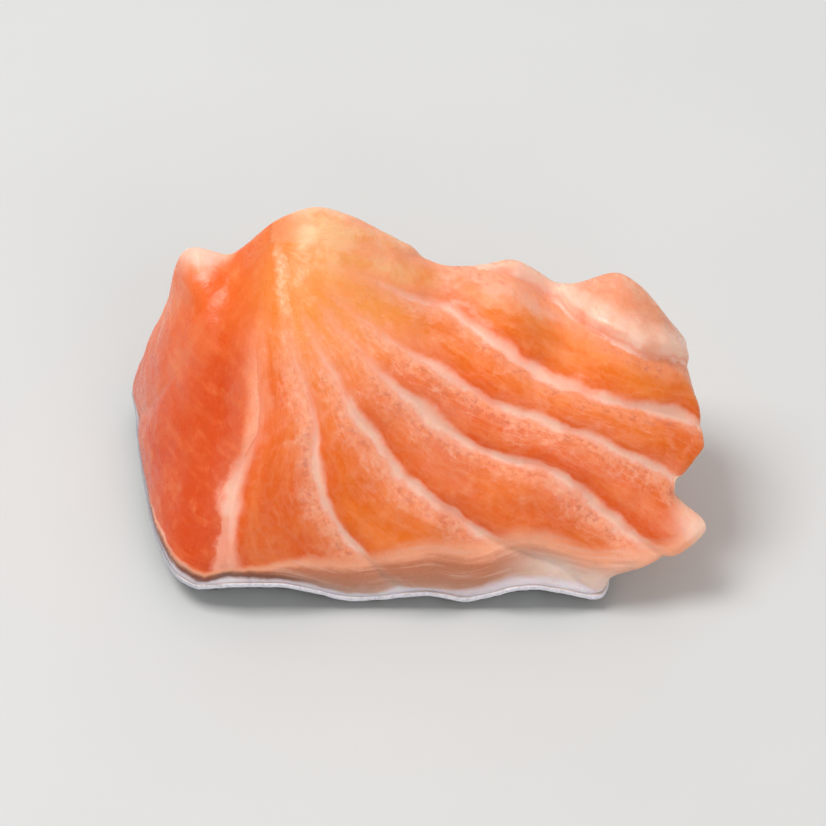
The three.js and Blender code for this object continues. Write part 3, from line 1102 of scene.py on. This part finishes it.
def shoot_up(tree, ahead=0.0, aside=0.0):
    """A ray from below each point, moved along X and Y. Gives whether it hits the skin."""
    x, y, _ = tree.here()
    return tree.node("GeometryNodeRaycast", {"data_type": "FLOAT"}, {
        "Target Geometry": tree.given("Geometry"),
        "Source Position": tree.vector(x + ahead, y + aside, RAY_START),
        "Ray Direction": (0.0, 0.0, 1.0),
        "Ray Length": RAY_LENGTH,
    }, "Is Hit")


def one_scale(tree, length, width, bulk, tilt):
    """A ball pressed flat and tilted, whose points know how far along the scale they are."""
    ball = tree.node("GeometryNodeMeshUVSphere", None, {
        "Segments": SCALE_SIDES, "Rings": SCALE_RINGS, "Radius": 0.5,
    })
    smooth = tree.node("GeometryNodeSetShadeSmooth", None, {"Geometry": ball})
    x, _, _ = tree.here()
    marked = tree.node("GeometryNodeStoreNamedAttribute", {
        "data_type": "FLOAT", "domain": "POINT",
    }, {"Geometry": smooth, "Name": "along_scale", "Value": x + 0.5})
    return tree.node("GeometryNodeTransform", None, {
        "Geometry": marked,
        "Rotation": tree.vector(y=tilt),
        "Scale": tree.vector(length, width, bulk),
    })


def draped(tree, flat):
    """The flat scales, each point moved up to the skin and keeping its own small height."""
    hit = shoot_up(tree)
    _, _, height = tree.here()
    place = tree.node("ShaderNodeVectorMath", {"operation": "ADD"}, {
        0: hit.beside("Hit Position"), 1: tree.vector(z=height),
    })
    return tree.node("GeometryNodeSetPosition", None, {
        "Geometry": flat, "Selection": hit, "Position": place,
    })


def lay_scales(tree):
    sizes = ("Pitch", "Length", "Width", "Bulk", "Tilt")
    pitch, length, width, bulk, tilt = [tree.named_input(name) for name in sizes]
    seed = tree.named_input("Seed", "NodeSocketInt")
    finish = tree.named_input("Finish", "NodeSocketMaterial")

    room = 1.0
    for side in (-ROOM, ROOM):
        room = shoot_up(tree, ahead=length * side) * room
        room = shoot_up(tree, aside=width * side) * room
    under = tree.node("GeometryNodeSeparateGeometry", {"domain": "POINT"}, {
        "Geometry": net_of_points(tree, pitch), "Selection": room,
    })
    laid = tree.node("GeometryNodeInstanceOnPoints", None, {
        "Points": under,
        "Instance": one_scale(tree, length, width, bulk, tilt),
        "Rotation": tree.node("FunctionNodeRandomValue", {"data_type": "FLOAT_VECTOR"}, {
            0: (0, 0, -TURN_VARIES), 1: (0, 0, TURN_VARIES), "Seed": seed + 2,
        }),
        "Scale": tree.node("FunctionNodeRandomValue", {"data_type": "FLOAT"}, {
            2: SIZE_VARIES[0], 3: SIZE_VARIES[1], "Seed": seed,
        }, 1),
    })
    tinted = tree.node("GeometryNodeStoreNamedAttribute", {
        "data_type": "FLOAT", "domain": "INSTANCE",
    }, {
        "Geometry": laid,
        "Name": "scale_tint",
        "Value": tree.node("FunctionNodeRandomValue", {"data_type": "FLOAT"}, {
            "Seed": seed + 1,
        }, 1),
    })
    real = tree.node("GeometryNodeRealizeInstances", None, {"Geometry": tinted})
    tree.end(draped(tree, real), finish)


lay_scales(scale_laying)
print("scale tree inputs:", ", ".join(scale_laying.names))

# %% [markdown]
# ## Laying the scales
#
# The tree runs as a modifier on a second object with the skin's mesh, its inputs are set by their
# identifiers, and the result becomes a plain mesh, so that nothing has to be worked out again
# later and the modifier can go.

# %% From the modifier to a plain mesh
SCALE_SIZES = {
    "Pitch": 2.05 * MM,
    "Length": 3.0 * MM,
    "Width": 2.5 * MM,
    "Bulk": 0.09 * MM,
    "Tilt": math.radians(3),
    "Seed": 11,
    "Finish": pearl.material,
}

holder = add_object("holder", skin.data)
laying = holder.modifiers.new("scales", "NODES")
laying.node_group = scale_laying.tree
for name, value in SCALE_SIZES.items():
    laying[scale_laying.names[name]] = value
seen_now = bpy.context.evaluated_depsgraph_get()
scale_mesh = bpy.data.meshes.new_from_object(holder.evaluated_get(seen_now))
scales = add_object("salmon_scales", scale_mesh)
holder.modifiers.remove(laying)
bpy.data.objects.remove(holder)
heights = [point.co.z / MM for point in scale_mesh.vertices]
print("scales:", len(scale_mesh.polygons) // (SCALE_SIDES * SCALE_RINGS))
print("scales from", round(min(heights), 2), "to", round(max(heights), 2), "mm")

# %% [markdown]
# ## Giving the pieces to the frame
#
# All pieces move with the chunk's one body and stand for its one solid.

# %% Riding on the body
for piece, slot in ((flesh, "flesh"), (skin, "skin"), (scales, "skin")):
    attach(piece, "root")
    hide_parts(NODE)
    piece.data.calc_loop_triangles()
    print(piece.name, len(piece.data.loop_triangles), "triangles")

# %% [markdown]
# ## The table
#
# A plain pale table top lets the orange speak for itself. It is part of the stage and not of the
# fish, and gets only a trace of unevenness in its finish.

# %% A pale table top
TABLE_HALF = 1500.0
TABLE_PALE = paint(204, 204, 202)
TABLE_WHITE = paint(212, 212, 210)

corners = np.array([(-1, -1, 0), (1, -1, 0), (1, 1, 0), (-1, 1, 0)]) * TABLE_HALF
table_top = make_piece("table_top", corners, np.array([(0, 1, 2, 3)]))
stone = Finish("pale table top")
stone.set({
    "Base Color": stone.mix(stone.noise(40, 3), TABLE_PALE, TABLE_WHITE),
    "Roughness": 0.55,
})
table_top.data.materials.append(stone.material)
print("table top:", 2 * TABLE_HALF * MM, "m wide")

# %% [markdown]
# ## Light
#
# Wet food looks best under a large soft light from above, with a second one behind it, whose
# reflection draws a sheen along the ridges, and a weaker one in front that opens the shadows. The
# lights are big next to the chunk, so that shadows stay soft.

# %% Three soft lights and a pale surround
LIGHTS = {
    "key": {"place": (-0.3, 0.05, 0.62), "size": 0.34, "power": 3.3},
    "sheen": {"place": (0.1, 0.5, 0.46), "size": 0.45, "power": 0.55},
    "fill": {"place": (0.3, -0.6, 0.45), "size": 0.5, "power": 1.6},
}
SURROUND = 0.42

middle_of_chunk = Vector((0, 0, 0.012))
for name, light in LIGHTS.items():
    data = bpy.data.lights.new(name, "AREA")
    data.shape = "SQUARE"
    data.size = light["size"]
    data.energy = light["power"]
    lamp = add_object(name, data)
    lamp.location = light["place"]
    lamp.rotation_euler = (middle_of_chunk - lamp.location).to_track_quat("-Z", "Y").to_euler()

world = bpy.data.worlds.new("pale surround")
bpy.context.scene.world = world
world.use_nodes = True
world.node_tree.nodes["Background"].inputs["Color"].default_value = (1, 1, 1, 1)
world.node_tree.nodes["Background"].inputs["Strength"].default_value = SURROUND
bpy.context.scene.view_settings.view_transform = "Standard"
print("lights:", ", ".join(LIGHTS))

# %% [markdown]
# ## Camera
#
# The photograph looks down at the chunk at 45 degrees, from its front and rather close, so the
# camera stands under half a metre away and the near edge looks a little larger.

# %% The camera
CAMERA_AWAY = 0.443
CAMERA_RISE = math.radians(45)
CAMERA_AIM = Vector((0.00005, 0, 0.0125))
FRAME_WIDTH = 0.0802
SENSOR = 36.0

camera_data = bpy.data.cameras.new("camera")
camera_data.sensor_width = SENSOR
camera_data.lens = SENSOR * CAMERA_AWAY / FRAME_WIDTH
camera_data.clip_start = 0.01
camera = add_object("camera", camera_data)
back = Vector((0, -math.cos(CAMERA_RISE), math.sin(CAMERA_RISE)))
camera.location = CAMERA_AIM + back * CAMERA_AWAY
camera.rotation_euler = (-back).to_track_quat("-Z", "Y").to_euler()
bpy.context.scene.camera = camera
print("lens:", round(camera_data.lens, 1), "mm")
